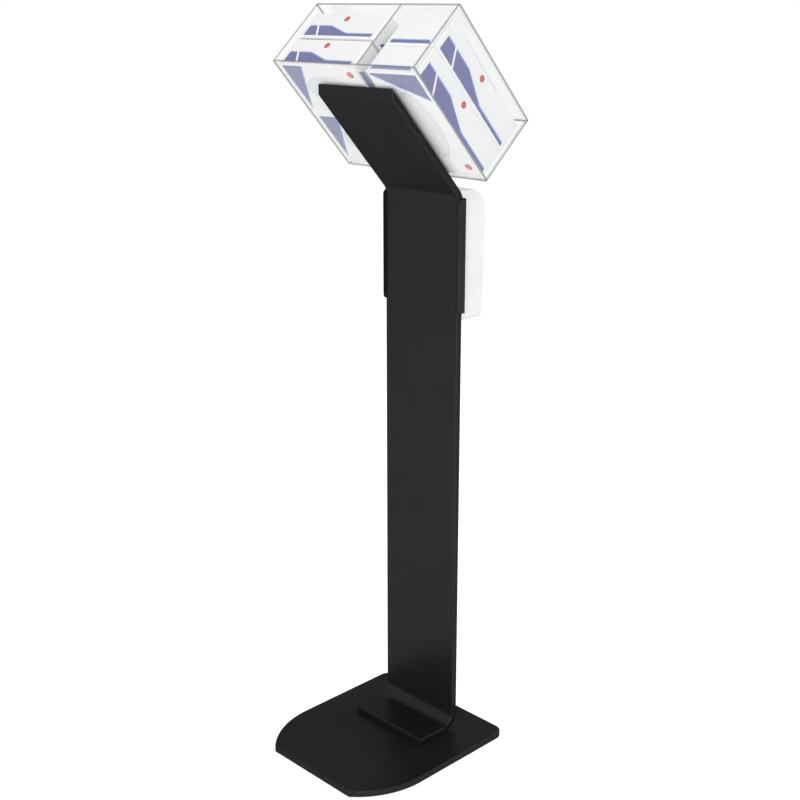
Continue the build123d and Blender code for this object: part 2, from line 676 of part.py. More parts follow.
def make_chassis():
    """Open-fronted moulding: bottle shelf on top, pump and battery bay inside, chin with the nozzle below."""
    floor = CHASSIS_FLOOR_H
    shelf_low = CHASSIS_TOP - SHELF_T
    inner_w = CHASSIS_W - 2 * CHASSIS_WALL
    outer = block(centred(0, CHASSIS_W), (floor - CHASSIS_WALL, CHASSIS_TOP), (CHASSIS_REAR, CHASSIS_FRONT))
    bay = block(centred(0, inner_w), (floor, shelf_low), (CHASSIS_BACK_WALL, CHASSIS_FRONT))
    chin = block(centred(0, CHIN_W), (CHIN_H, floor), (HINGE_Q, CHASSIS_FRONT))
    chassis = outer - bay + chin
    cap_r = CAP_D / 2 + FIT
    chassis -= block(centred(0, 2 * cap_r), (shelf_low, CHASSIS_TOP), (NOZZLE_Q, CHASSIS_FRONT))
    chassis -= upright(rod(cap_r, (shelf_low, CHASSIS_TOP), MEDIUM_FLAT_COUNT), 0, NOZZLE_Q)
    chassis -= upright(rod(NOZZLE_D / 2 + FIT, (CHIN_H, floor)), 0, NOZZLE_Q)
    for inset, top in ((-GLUE_GAP, CHIN_H + LENS_T), (LENS_LEDGE, floor)):
        well_w, well_l = LENS_W - 2 * inset, LENS_L - 2 * inset
        chassis -= block(centred(0, well_w), (CHIN_H, top), centred(LENS_Q, well_l))
    for x in board_posts():
        chassis += upright(rod(BOARD_POST_R, (floor, BOARD_LOW)), x, LENS_Q)
    return DISP * chassis


def make_sensor_lens():
    """Dark window in the chin over the hand sensor."""
    lens = block(centred(0, LENS_W), (CHIN_H, CHIN_H + LENS_T - GLUE_GAP), centred(LENS_Q, LENS_L))
    return DISP * lens


def make_board():
    """Control board on two posts, with the sensor pair looking down through the chin."""
    top = BOARD_LOW + BOARD_T
    board = block((BOARD_LEFT, BOARD_RIGHT), (BOARD_LOW, top), centred(LENS_Q, BOARD_D))
    for x in (-LENS_W / 4, LENS_W / 4):
        board += upright(rod(SENSOR_R, (CHASSIS_FLOOR_H, BOARD_LOW)), x, LENS_Q)
    for x in board_posts():
        board += block(centred(x, CHIP_W), (top, top + CHIP_T), centred(LENS_Q, CHIP_W))
    return DISP * board


def make_nozzle():
    """Tapered spout under the tube, seated on the chassis floor by its flange."""
    tip = CHIN_H - NOZZLE_DROP
    spout = Pos(0, 0, CHIN_H) * TURN_OVER * cone(NOZZLE_D / 2, NOZZLE_TIP_D / 2, NOZZLE_DROP)
    spout += rod(NOZZLE_D / 2, (CHIN_H, CHASSIS_FLOOR_H))
    spout += rod(NOZZLE_FLANGE_D / 2, (CHASSIS_FLOOR_H, NOZZLE_SEAT_H))
    spout += Pos(0, 0, NOZZLE_SEAT_H) * cone(NOZZLE_D / 2, TUBE_D / 2, NOZZLE_RISE)
    return DISP * upright(spout - rod(NOZZLE_BORE_D / 2, (tip, NOZZLE_TOP)), 0, NOZZLE_Q)


def make_bottle():
    """Refill bottle: a rounded block with a bevelled top and a short neck that hangs through the shelf."""
    height = BOTTLE_TOP - CHASSIS_TOP
    body = extrude(RectangleRounded(BOTTLE_W, BOTTLE_D, BOTTLE_CORNER_R), height)
    body = chamfer(body.faces().sort_by(Axis.Z)[-1].edges(), BOTTLE_BEVEL)
    body = Pos(0, 0, CHASSIS_TOP) * body
    neck = rod(NECK_D / 2, (CAP_TOP, CHASSIS_TOP + BOTTLE_BEVEL), MEDIUM_FLAT_COUNT)
    return DISP * upright(body + neck, 0, NOZZLE_Q)


def make_bottle_cap():
    """Cap on the bottle's neck, with the spout that the tube joins."""
    cap = rod(CAP_D / 2, (CAP_TOP - CAP_H, CAP_TOP), MEDIUM_FLAT_COUNT)
    return DISP * upright(cap + rod(SPOUT_D / 2, (SPOUT_END, CAP_TOP - CAP_H)), 0, NOZZLE_Q)


def turn_points(x, h, radius, angles):
    """Corner points of a bend drawn in short straight steps, between two angles in degrees."""
    count = round(abs(angles[1] - angles[0]) / TUBE_STEP_ANGLE)
    turns = [math.radians(angles[0] + (angles[1] - angles[0]) * step / count) for step in range(count + 1)]
    return [(x + radius * math.cos(turn), h + radius * math.sin(turn)) for turn in turns]


def make_tube():
    """Silicone tube from the cap, round the pump's track and down to the nozzle."""
    bend, track = TUBE_BEND_R, PUMP_TRACK_R
    top, low = PUMP_H + track, PUMP_H - track
    points = [(0, SPOUT_END)]
    points += turn_points(-bend, top + bend, bend, (0, -90))
    points += turn_points(PUMP_X, PUMP_H, track, (90, 270))
    points += turn_points(-bend, low - bend, bend, (90, 0))
    points += [(0, NOZZLE_TOP)]
    section = Plane(origin=(0, SPOUT_END, 0), z_dir=(0, -1, 0)) * RegularPolygon(TUBE_D / 2, TUBE_FLAT_COUNT)
    tube = sweep(section, path=Polyline(*points), transition=Transition.RIGHT)
    return DISP * Pos(0, 0, NOZZLE_Q) * tube


def make_pump_body():
    """Pump plate on four legs, with the half-round track that backs the tube."""
    inner = PUMP_TRACK_R + TUBE_D / 2 + FIT
    outer = inner + PUMP_RIM
    front, track_end = PUMP_BACK_Q + PUMP_BACK_T, NOZZLE_Q + PUMP_TRACK_W / 2
    track = rod(outer, (front, track_end), MEDIUM_FLAT_COUNT)
    track -= rod(inner, (front, track_end), MEDIUM_FLAT_COUNT)
    track &= block((-outer, 0), (-outer, outer), (front, track_end))
    plate = block((-outer, ROTOR_DISC_R), (-outer, outer), (PUMP_BACK_Q, front))
    body = plate + track - rod(SHAFT_D / 2 + 2 * FIT, (PUMP_BACK_Q, front))
    leg = rod(PUMP_LEG_R, (CHASSIS_BACK_WALL, PUMP_BACK_Q))
    for x in (PUMP_LEG_R - outer, ROTOR_DISC_R - PUMP_LEG_R):
        for h in (PUMP_LEG_R - outer, outer - PUMP_LEG_R):
            body += Pos(x, h, 0) * leg
    return DISP * Pos(PUMP_X, PUMP_H, 0) * body


def roller_places():
    """Roller centres about the rotor's axis."""
    return [Rot(0, 0, 360 / ROLLER_COUNT * turn) * Pos(ROLLER_ORBIT_R, 0, 0) for turn in range(ROLLER_COUNT)]


def make_pump_rotor():
    """Two discs on the motor's shaft, with the pins that carry the rollers."""
    rotor = drum(SHAFT_D / 2, (PUMP_BACK_Q - MOTOR_L / 2, PUMP_BACK_Q))
    rotor += rod(SHAFT_D / 2, (PUMP_BACK_Q, ROTOR_FRONT + SHAFT_NOSE))
    rotor += rod(ROTOR_DISC_R, (ROTOR_Q, ROTOR_Q + ROTOR_DISC_T), MEDIUM_FLAT_COUNT)
    rotor += rod(ROTOR_DISC_R, (ROTOR_FRONT - ROTOR_DISC_T, ROTOR_FRONT), MEDIUM_FLAT_COUNT)
    for place in roller_places():
        rotor += place * rod(ROLLER_PIN_D / 2, (ROTOR_Q, ROTOR_FRONT))
    return DISP * Pos(PUMP_X, PUMP_H, 0) * rotor


def make_pump_rollers():
    """Rollers that press the tube against the track."""
    span = (ROTOR_Q + ROTOR_DISC_T + FIT, ROTOR_FRONT - ROTOR_DISC_T - FIT)
    roller = rod(ROLLER_D / 2, span) - rod(ROLLER_PIN_D / 2 + THREAD, span)
    return group([DISP * Pos(PUMP_X, PUMP_H, 0) * place * roller for place in roller_places()])


def make_motor():
    """Geared motor behind the pump plate, with its tail against the chassis."""
    rear = PUMP_BACK_Q - MOTOR_L
    can = rod(MOTOR_D / 2, (rear, PUMP_BACK_Q), MEDIUM_FLAT_COUNT)
    can = chamfer(can.faces().sort_by(Axis.Z)[0].edges(), MOTOR_BEVEL)
    tail = rod(MOTOR_TAIL_D / 2, (CHASSIS_BACK_WALL, rear))
    bore = drum(SHAFT_D / 2 + RUN, (PUMP_BACK_Q - MOTOR_L / 2 - FIT, PUMP_BACK_Q))
    return DISP * Pos(PUMP_X, PUMP_H, 0) * (can + tail - bore)


def cell_places():
    """Centres of the four cells, as x and q."""
    places = grid(CELL_PITCH, CELL_PITCH, CHASSIS_BACK_WALL + CASE_HALF)
    return [(BATTERY_X + x, q) for x, q in places]


def make_battery_case():
    """Open-topped case with a bore for each cell."""
    width = centred(BATTERY_X, 2 * CASE_HALF)
    case = block(width, (CHASSIS_FLOOR_H, CASE_TOP), (CHASSIS_BACK_WALL, CASE_FRONT))
    for x, q in cell_places():
        case -= upright(rod(CELL_BORE_R, (CELL_LOW, CASE_TOP)), x, q)
    return DISP * case


def make_battery_lid():
    """Lid on the battery case."""
    width = centred(BATTERY_X, 2 * CASE_HALF)
    return DISP * block(width, (CASE_TOP, CASE_TOP + LID_T), (CHASSIS_BACK_WALL, CASE_FRONT))


def make_cells():
    """Four round cells, each with its contact nub."""
    cell = rod(CELL_D / 2, (CELL_LOW, CELL_TOP)) + rod(CELL_NUB_D / 2, (CELL_TOP, CELL_TOP + CELL_NUB_H))
    return group([DISP * upright(cell, x, q) for x, q in cell_places()])


def make_switch():
    """Slide switch on the battery case, with the slot that its knob runs in."""
    front = CASE_FRONT + SWITCH_D
    body = block(centred(BATTERY_X, SWITCH_W), centred(SWITCH_MID_H, SWITCH_H), (CASE_FRONT, front))
    slot_w = SWITCH_KNOB_W + SWITCH_TRAVEL + 2 * FIT
    slot_h = SWITCH_KNOB_H + 2 * FIT
    depth = (front - SWITCH_SLOT_DEPTH, front)
    slot = block(centred(BATTERY_X, slot_w), centred(SWITCH_MID_H, slot_h), depth)
    return DISP * (body - slot)


def make_switch_knob():
    """Knob of the power switch, stored at the off end of its slot."""
    front = CASE_FRONT + SWITCH_D
    across = centred(BATTERY_X - SWITCH_TRAVEL / 2, SWITCH_KNOB_W)
    depth = (front - SWITCH_SLOT_DEPTH + FIT, front + SWITCH_KNOB_OUT)
    return DISP * block(across, centred(SWITCH_MID_H, SWITCH_KNOB_H), depth)


def make_parts():
    """Every piece by the name of its node."""
    parts = {
        "base_plate": make_base_plate(),
        "base_pads": make_base_pads(),
        "foot_screws": make_foot_screws(),
        "post": make_post(),
        "dispenser_bracket": make_bracket(),
        "bracket_screws": make_bracket_screws(),
        "holder_back_panel": make_holder_back(),
        "holder_screws": make_holder_screws(),
        "holder_front_panel": make_holder_front(),
        "holder_left_wall": make_holder_wall(BAY_HALF, HOLDER_S),
        "holder_right_wall": make_holder_wall(-HOLDER_HALF, HOLDER_S),
        "holder_divider": make_holder_wall(DIVIDER_X, BAY_FLOOR_S + GLUE_GAP),
        "holder_floor": make_holder_floor(),
        "dispenser_back_plate": make_back_plate(),
        "back_plate_screws": make_back_screws(),
        "dispenser_cover": make_cover(),
        "level_window": make_level_window(),
        "cover_hinge_pins": make_hinge_pins(),
        "cover_lock": make_lock(),
        "drive_chassis": make_chassis(),
        "sensor_lens": make_sensor_lens(),
        "control_board": make_board(),
        "nozzle": make_nozzle(),
        "refill_bottle": make_bottle(),
        "bottle_cap": make_bottle_cap(),
        "pump_tube": make_tube(),
        "pump_body": make_pump_body(),
        "pump_rotor": make_pump_rotor(),
        "pump_rollers": make_pump_rollers(),
        "pump_motor": make_motor(),
        "battery_case": make_battery_case(),
        "battery_lid": make_battery_lid(),
        "battery_cells": make_cells(),
        "power_switch": make_switch(),
        "power_switch_knob": make_switch_knob(),
    }
    for layer, depth in enumerate(("rear", "front")):
        for row, level in enumerate(("lower", "upper")):
            parts[f"wide_carton_{depth}_{level}"] = make_wide_carton(row, layer)
        parts[f"tall_carton_{depth}"] = make_tall_carton(layer)
    return parts


os.makedirs("parts", exist_ok=True)
for name, shape in make_parts().items():
    export_step(shape, f"parts/{name}.step")
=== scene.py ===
"""Looks of the hand hygiene stand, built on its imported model.

Lengths are metres. The cartons' print and the bottle's profile are given in millimetres.
"""

import math

import bmesh
import bpy
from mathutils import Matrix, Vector


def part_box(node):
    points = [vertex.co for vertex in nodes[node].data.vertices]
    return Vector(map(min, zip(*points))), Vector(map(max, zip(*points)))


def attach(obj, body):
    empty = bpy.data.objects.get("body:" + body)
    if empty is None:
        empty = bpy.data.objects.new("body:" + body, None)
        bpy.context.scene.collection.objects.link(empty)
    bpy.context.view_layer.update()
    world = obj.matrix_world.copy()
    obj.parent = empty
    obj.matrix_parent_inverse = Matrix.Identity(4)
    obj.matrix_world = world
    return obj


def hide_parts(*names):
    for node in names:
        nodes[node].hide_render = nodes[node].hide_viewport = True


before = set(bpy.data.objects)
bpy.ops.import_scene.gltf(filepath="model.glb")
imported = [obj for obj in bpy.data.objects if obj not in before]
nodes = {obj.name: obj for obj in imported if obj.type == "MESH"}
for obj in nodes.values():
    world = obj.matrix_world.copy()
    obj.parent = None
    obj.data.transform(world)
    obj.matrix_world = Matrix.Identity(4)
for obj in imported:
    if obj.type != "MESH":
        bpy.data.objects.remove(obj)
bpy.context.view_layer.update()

MM = 0.001
WHITE = (1.0, 1.0, 1.0)

# The tilted arm's own axes: S up along it, N out of the face that carries the holder, X across
TILT = math.radians(42.4)
ARM_ORIGIN = Vector((0.0, -0.0915, 1.0435))
ARM_S = Vector((0.0, math.sin(TILT), math.cos(TILT)))
ARM_N = Vector((0.0, -math.cos(TILT), math.sin(TILT)))
ARM_X = Vector((1.0, 0.0, 0.0))

SQUARE_ON = 0.7  # a face counts as facing a direction when their dot product is above this
NOISE_LOW, NOISE_HIGH = 0.3, 0.7  # most of a noise texture's values lie between these
EDGE_GAIN = 6.0
FLAT_LIMIT = math.radians(40.0)  # flatter edges than this shade as one curve
WELD_GAP = 1e-6
SHAVE_DEPTH = 0.0002

ROUND_STOCK = ("base_pads", "foot_screws", "dispenser_bracket", "bracket_screws", "holder_screws",
               "back_plate_screws", "cover_hinge_pins", "cover_lock", "nozzle", "bottle_cap",
               "pump_body", "pump_rotor", "pump_rollers", "pump_motor", "battery_cells")

# Refill bottle
BOTTLE_CORNER_R = 0.014
BOTTLE_LEAST_R = 0.006
NECK_R = 0.0125
NECK_FLAT = 0.0001  # keeps the neck's quarter rounds from sharing a point
NECK_L = 0.004
RING_STEPS = 10
LIQUID_SHARE = 0.7
LEVEL_GAIN = 900.0
# Inset and height above the shelf
BOTTLE_FOOT = ((6.0, 0.0), (3.5, 0.7), (1.8, 1.8), (0.7, 3.5), (0.0, 6.0), (0.0, 36.0),
               (0.6, 38.0), (2.0, 40.5), (2.6, 43.0), (2.6, 49.0), (2.0, 51.5), (0.6, 54.0),
               (0.0, 56.0))
# Inset and depth below the top
BOTTLE_SHOULDER = ((0.0, 19.0), (0.8, 12.5), (2.6, 8.0), (5.6, 4.4), (9.5, 2.0), (14.0, 0.7),
                   (20.0, 0.0))

# Cartons: size and place on the arm
CARTON_T = 57.5
WIDE_L, WIDE_W, WIDE_X = 185.0, 120.6, 0.0719
WIDE_S = {"lower": 0.104, "upper": 0.225}
WIDE_N = {"rear": 0.04515, "front": 0.10725}
TALL_L, TALL_W, TALL_X, TALL_S = 235.0, 114.0, -0.1034, 0.1612
TALL_N = {"rear": 0.04515, "front": 0.10305}

# Cartons: print
CARD = (0.93, 0.93, 0.93)
SLATE = (0.155, 0.165, 0.36)
SKY = (0.36, 0.56, 0.90)
TAG_RED = (0.62, 0.10, 0.11)
PALE_GREY = (0.70, 0.70, 0.715)
TEAR_GREY = (0.45, 0.45, 0.46)
MARGIN = 5.0
BAND_END = 9.0
BAND_H = 13.0
BAND_TRIM = 2.2
BAND_GAP = 2.5
BAND_SLOPE = 0.34
TAIL_END = 8.0
TAIL_H = 14.0
WEDGE_TRIM = 3.0
TAG_R = 7.0
CHIP_R = 6.0
CHIP_DROP = 13.0
OVAL_IN, OVAL_OUT = 0.95, 1.02
DASHES = 46.0

# Stage
FLOOR_HALF = 9.0
FLOOR_GLOW = 0.68
SKY_LIGHT, SKY_SEEN = 0.45, 0.55
# Name, place, target, size, watts
LAMPS = (("key", (-3.2, 3.0, 2.2), (0, 0, 0.8), 2.6, 122.0),
         ("top", (-0.4, 0.6, 4.2), (0, 0, 0.8), 2.4, 9.0),
         ("front", (-0.7, -3.2, 2.3), (0, 0, 0.9), 2.4, 42.0),
         ("low", (-0.2, 2.6, 0.5), (0, 0.1, 1.25), 1.8, 20.0))
CAMERA_PLACE = (-1.60146, 1.53287, 1.36866)
CAMERA_WAY = (0.68178, -0.66928, -0.29537)
SENSOR_W, LENS = 36.0, 58.34


def feed(tree, slot, value):
    """Links an expression or a socket to an input, or sets the input's own value."""
    if isinstance(value, Expr):
        value = value.socket
    if isinstance(value, bpy.types.NodeSocket):
        tree.links.new(value, slot)
    elif slot.type == "RGBA":
        slot.default_value = (*value, 1.0)
    else:
        slot.default_value = value


def shade(colour, share):
    """A darker or lighter tone of a colour."""
    return tuple(min(1.0, part * share) for part in colour)


class Expr:
    """A number in a node tree, so that patterns can be written as sums."""

    def __init__(self, tree, socket):
        self.tree, self.socket = tree, socket

    def op(self, kind, *others):
        node = self.tree.nodes.new("ShaderNodeMath")
        node.operation = kind
        for slot, value in zip(node.inputs, (self,) + others):
            feed(self.tree, slot, value)
        return Expr(self.tree, node.outputs[0])

    def __add__(self, other):
        return self.op("ADD", other)

    def __sub__(self, other):
        return self.op("SUBTRACT", other)

    def __mul__(self, other):
        return self.op("MULTIPLY", other)

    def __lt__(self, other):
        return self.op("LESS_THAN", other)

    def __gt__(self, other):
        return self.op("GREATER_THAN", other)

    def __abs__(self):
        return self.op("ABSOLUTE")

    def both(self, other):
        return self.op("MINIMUM", other)

    def either(self, other):
        return self.op("MAXIMUM", other)

    def within(self, low, high):
        return (self > low).both(self < high)

    def clamp(self, low, high):
        return self.either(low).both(high)

    def span(self, low=0.0, high=1.0):
        """Stretches a noise value's usual range to low..high."""
        gain = (high - low) / (NOISE_HIGH - NOISE_LOW)
        return (self.clamp(NOISE_LOW, NOISE_HIGH) - NOISE_LOW) * gain + low


class Material:
    """A Principled material with the few node helpers that the patterns below need."""

    def __init__(self, name, **values):
        self.mat = bpy.data.materials.new(name)
        self.mat.use_nodes = True
        self.tree = self.mat.node_tree
        self.shader = self.tree.nodes["Principled BSDF"]
        self.coords = self.tree.nodes.new("ShaderNodeTexCoord").outputs["Object"]
        for key, value in values.items():
            self.set(key.replace("_", " "), value)

    def set(self, key, value):
        feed(self.tree, self.shader.inputs[key], value)

    def noise(self, scale, detail=2.0, rough=0.5, coords=None):
        node = self.tree.nodes.new("ShaderNodeTexNoise")
        node.inputs["Scale"].default_value = scale
        node.inputs["Detail"].default_value = detail
        node.inputs["Roughness"].default_value = rough
        self.tree.links.new(coords or self.coords, node.inputs["Vector"])
        return Expr(self.tree, node.outputs[0])

    def place(self, kind, location=(0, 0, 0), turn=(0, 0, 0), scale=(1, 1, 1)):
        """Coordinates scaled as a POINT, or read in the moved frame of a TEXTURE."""
        node = self.tree.nodes.new("ShaderNodeMapping")
        node.vector_type = kind
        for key, value in (("Location", location), ("Rotation", turn), ("Scale", scale)):
            node.inputs[key].default_value = value
        self.tree.links.new(self.coords, node.inputs["Vector"])
        return node.outputs[0]

    def split(self, vector):
        node = self.tree.nodes.new("ShaderNodeSeparateXYZ")
        self.tree.links.new(vector, node.inputs[0])
        return [Expr(self.tree, out) for out in node.outputs]

    def facing(self, direction):
        """How squarely the flat surface faces a direction, a vector or a socket."""
        geometry = self.tree.nodes.new("ShaderNodeNewGeometry")
        dot = self.tree.nodes.new("ShaderNodeVectorMath")
        dot.operation = "DOT_PRODUCT"
        self.tree.links.new(geometry.outputs["True Normal"], dot.inputs[0])
        feed(self.tree, dot.inputs[1], direction)
        return Expr(self.tree, dot.outputs["Value"])

    def faces(self, direction):
        """1 on faces that lie square to a direction, on either side."""
        return abs(self.facing(direction)) > SQUARE_ON

    def mix(self, share, low, high):
        """One colour passing into another."""
        node = self.tree.nodes.new("ShaderNodeMix")
        node.data_type = "RGBA"
        for index, value in ((0, share), (6, low), (7, high)):
            feed(self.tree, node.inputs[index], value)
        return node.outputs[2]

    def blend(self, share, low, high):
        """One shader passing into another."""
        node = self.tree.nodes.new("ShaderNodeMixShader")
        for slot, source in zip(node.inputs, (share, low, high)):
            feed(self.tree, slot, source)
        return node.outputs[0]

    def rounded(self, radius):
        """The normal as if sharp edges were rounded."""
        node = self.tree.nodes.new("ShaderNodeBevel")
        node.samples = 4
        node.inputs["Radius"].default_value = radius
        return node.outputs[0]

    def bump(self, height, distance, strength, normal=None):
        node = self.tree.nodes.new("ShaderNodeBump")
        node.inputs["Distance"].default_value = distance
        node.inputs["Strength"].default_value = strength
        self.tree.links.new(height.socket, node.inputs["Height"])
        if normal:
            self.tree.links.new(normal, node.inputs["Normal"])
        self.set("Normal", node.outputs[0])

    def edge_mask(self, radius):
        """1 close to a sharp edge, 0 on flat ground."""
        return (self.facing(self.rounded(radius)) * -EDGE_GAIN + EDGE_GAIN).clamp(0.0, 1.0)


def dress(material, *names):
    """Puts a material on CAD nodes."""
    for name in names:
        slots = nodes[name].data.materials
        slots.clear()
        slots.append(material.mat)


def shade_round(*names):
    """Lets the flats of round stock on CAD nodes shade as one curve; sharper edges stay sharp."""
    tree = bpy.data.node_groups.new("shade_round", "GeometryNodeTree")
    tree.is_modifier = True
    for way in ("INPUT", "OUTPUT"):
        tree.interface.new_socket("Geometry", in_out=way, socket_type="NodeSocketGeometry")
    start = tree.nodes.new("NodeGroupInput")
    end = tree.nodes.new("NodeGroupOutput")
    weld = tree.nodes.new("GeometryNodeMergeByDistance")
    weld.inputs["Distance"].default_value = WELD_GAP
    faces = tree.nodes.new("GeometryNodeSetShadeSmooth")
    edges = tree.nodes.new("GeometryNodeSetShadeSmooth")
    edges.domain = "EDGE"
    angle = tree.nodes.new("GeometryNodeInputMeshEdgeAngle")
    flat = tree.nodes.new("FunctionNodeCompare")
    flat.operation = "LESS_THAN"
    flat.inputs["B"].default_value = FLAT_LIMIT
    for source, target in ((start.outputs[0], weld.inputs["Geometry"]),
                           (weld.outputs[0], faces.inputs["Geometry"]),
                           (faces.outputs[0], edges.inputs["Geometry"]),
                           (edges.outputs[0], end.inputs[0]),
                           (angle.outputs["Unsigned Angle"], flat.inputs["A"]),
                           (flat.outputs[0], edges.inputs["Shade Smooth"])):
        tree.links.new(source, target)
    for name in names:
        nodes[name].modifiers.new("shade_round", "NODES").node_group = tree


def shave(*names):
    """Takes a hair off clear CAD nodes, so that they don't share a plane with what they touch."""
    for name in names:
        weld = nodes[name].modifiers.new("weld", "WELD")
        weld.merge_threshold = WELD_GAP
        trim = nodes[name].modifiers.new("shave", "DISPLACE")
        trim.mid_level, trim.strength = 0.0, -SHAVE_DEPTH


def powder_coat(name, grey, painted_edge_grey, edge_r):
    """Satin black coat: soft dark sheen, faint orange peel, and painted light on the edges."""
    m = Material(name, Metallic=0.6, Specular_IOR_Level=0.0, Specular_Tint=(0.45, 0.45, 0.45))
    colour = m.mix(m.noise(9.0, detail=3.0).span(),
                   (grey * 0.94, grey * 0.94, grey * 0.96),
                   (grey * 1.06, grey * 1.06, grey * 1.08))
    # painted light: a lighter edge tone paints a highlight along the edges, a darker one paints a
    # shadow line
    edge = (painted_edge_grey, painted_edge_grey, painted_edge_grey * 1.02)
    m.set("Base Color", m.mix(m.edge_mask(edge_r), colour, edge))
    m.set("Roughness", m.noise(160.0).span(0.28, 0.36))
    m.bump(m.noise(620.0, rough=0.6), 0.00002, 0.5, m.rounded(0.0015))
    return m


def moulded(name, colour, rough, grain=900.0, depth=0.00003, **values):
    """Plastic or rubber with a fine texture and a little drift in tone."""
    m = Material(name, **values)
    drift = m.noise(24.0, detail=3.0).span()
    m.set("Base Color", m.mix(drift, shade(colour, 0.97), shade(colour, 1.03)))
    m.set("Roughness", m.noise(grain / 4).span(rough * 0.85, rough * 1.15))
    m.bump(m.noise(grain), depth, 0.5, m.rounded(0.0006))
    return m


def plated(name, colour, rough, stretch):
    """Metal with fine drawn lines."""
    m = Material(name, Metallic=1.0)
    lines = m.noise(1.0, coords=m.place("POINT", scale=stretch))
    m.set("Base Color", m.mix(lines.span(), shade(colour, 0.9), colour))
    m.set("Roughness", lines.span(rough * 0.75, rough * 1.25))
    m.bump(lines, 0.00002, 0.4, m.rounded(0.0003))
    return m


def clear_sheet(name, main, *bare):
    """Polished acrylic sheet: clear through its faces, with a mirror sheen that grows at a slant.

    Cut edges that face a bare direction get a painted grey shade for the light bent inside the
    sheet, darkest at their corners. The others are glued and almost vanish.
    """
    m = Material(name, IOR=1.49)
    cut = abs(m.facing(main)) < SQUARE_ON
    saw = m.noise(120.0).span()
    # painted shade: the grey on cut edges stands in for light bent inside the sheet
    m.set("Base Color", m.mix(saw, (0.15, 0.153, 0.156), (0.18, 0.183, 0.186)))
    m.set("Roughness", saw.span(0.2, 0.3))
    m.set("Alpha", 0.3)
    if bare:
        shown = m.faces(bare[0])
        for way in bare[1:]:
            shown = shown.either(m.faces(way))
        # painted shade: cut edges grow more opaque towards their own borders, so they are darker at
        # the corners
        m.set("Alpha", (m.edge_mask(0.0012) * 0.3 + 0.6) * shown + 0.1)
    slant = m.tree.nodes.new("ShaderNodeLayerWeight")
    slant.inputs["Blend"].default_value = 0.5
    mirrored = Expr(m.tree, slant.outputs["Facing"]).op("POWER", 5.0) * 0.96 + 0.04
    clear = m.tree.nodes.new("ShaderNodeBsdfTransparent")
    feed(m.tree, clear.inputs["Color"], (0.993, 0.995, 0.996))
    sheen = m.tree.nodes.new("ShaderNodeBsdfGlossy")
    sheen.inputs["Roughness"].default_value = 0.03
    face = m.blend(mirrored, clear.outputs[0], sheen.outputs[0])
    surface = m.tree.nodes["Material Output"].inputs["Surface"]
    m.tree.links.new(m.blend(cut, face, m.shader.outputs[0]), surface)
    return m


def filled_plastic(level):
    """Milky bottle wall, with the liquid showing through it up to its level."""
    m = Material("bottle_plastic", Specular_IOR_Level=0.4)
    liquid = ((m.split(m.coords)[2] * -1.0 + level) * LEVEL_GAIN).clamp(0.0, 1.0)
    drift = m.noise(24.0, detail=3.0).span()
    dry = m.mix(drift, (0.79, 0.82, 0.84), (0.84, 0.87, 0.89))
    wet = m.mix(drift, (0.47, 0.64, 0.75), (0.53, 0.70, 0.80))
    m.set("Base Color", m.mix(liquid, dry, wet))
    m.set("Roughness", m.noise(140.0).span(0.38, 0.46))
    m.bump(m.noise(320.0), 0.00001, 0.5)
    return m


def rounded_ring(half_x, half_y, radius, z):
    """Points round a rectangle with round corners."""
    ring = []
    for corner, (side_x, side_y) in enumerate(((1, 1), (-1, 1), (-1, -1), (1, -1))):
        for step in range(RING_STEPS + 1):
            turn = math.pi / 2 * (corner + step / RING_STEPS)
            ring.append((side_x * (half_x - radius) + radius * math.cos(turn),
                         side_y * (half_y - radius) + radius * math.sin(turn), z))
    return ring


def make_bottle():
    """Moulded refill bottle with soft edges and a grip groove, in place of the CAD block."""
    low, high = (Vector(corner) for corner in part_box("refill_bottle"))
    centre, half = (low + high) / 2, (high - low) / 2
    shelf, top = low.z + NECK_L, high.z
    neck = NECK_R + NECK_FLAT
    rings = [rounded_ring(neck, neck, NECK_R, z) for z in (low.z, shelf)]
    rows = [(inset * MM, shelf + rise * MM) for inset, rise in BOTTLE_FOOT]
    rows += [(inset * MM, top - drop * MM) for inset, drop in BOTTLE_SHOULDER]
    for inset, z in rows:
        radius = max(BOTTLE_CORNER_R - inset, BOTTLE_LEAST_R)
        rings.append(rounded_ring(half.x - inset, half.y - inset, radius, z))
    bm = bmesh.new()
    loops = [[bm.verts.new((x + centre.x, y + centre.y, z)) for x, y, z in ring] for ring in rings]
    for lower, upper in zip(loops, loops[1:]):
        for i, vertex in enumerate(lower):
            bm.faces.new((lower[i - 1], vertex, upper[i], upper[i - 1]))
    bm.faces.new(loops[0][::-1])
    bm.faces.new(loops[-1])
    mesh = bpy.data.meshes.new("refill_bottle_shell")
    bm.to_mesh(mesh)
    bm.free()
    mesh.shade_smooth()
    mesh.set_sharp_from_angle(angle=FLAT_LIMIT)
    mesh.materials.append(filled_plastic(shelf + LIQUID_SHARE * (top - shelf)).mat)
    bottle = bpy.data.objects.new("refill_bottle_shell", mesh)
    bpy.context.scene.collection.objects.link(bottle)
    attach(bottle, "stand")
    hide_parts("refill_bottle")


def disc(across, up, radius):
    """1 within a radius of a point, given the distances from it."""
    return across * across + up * up < radius * radius


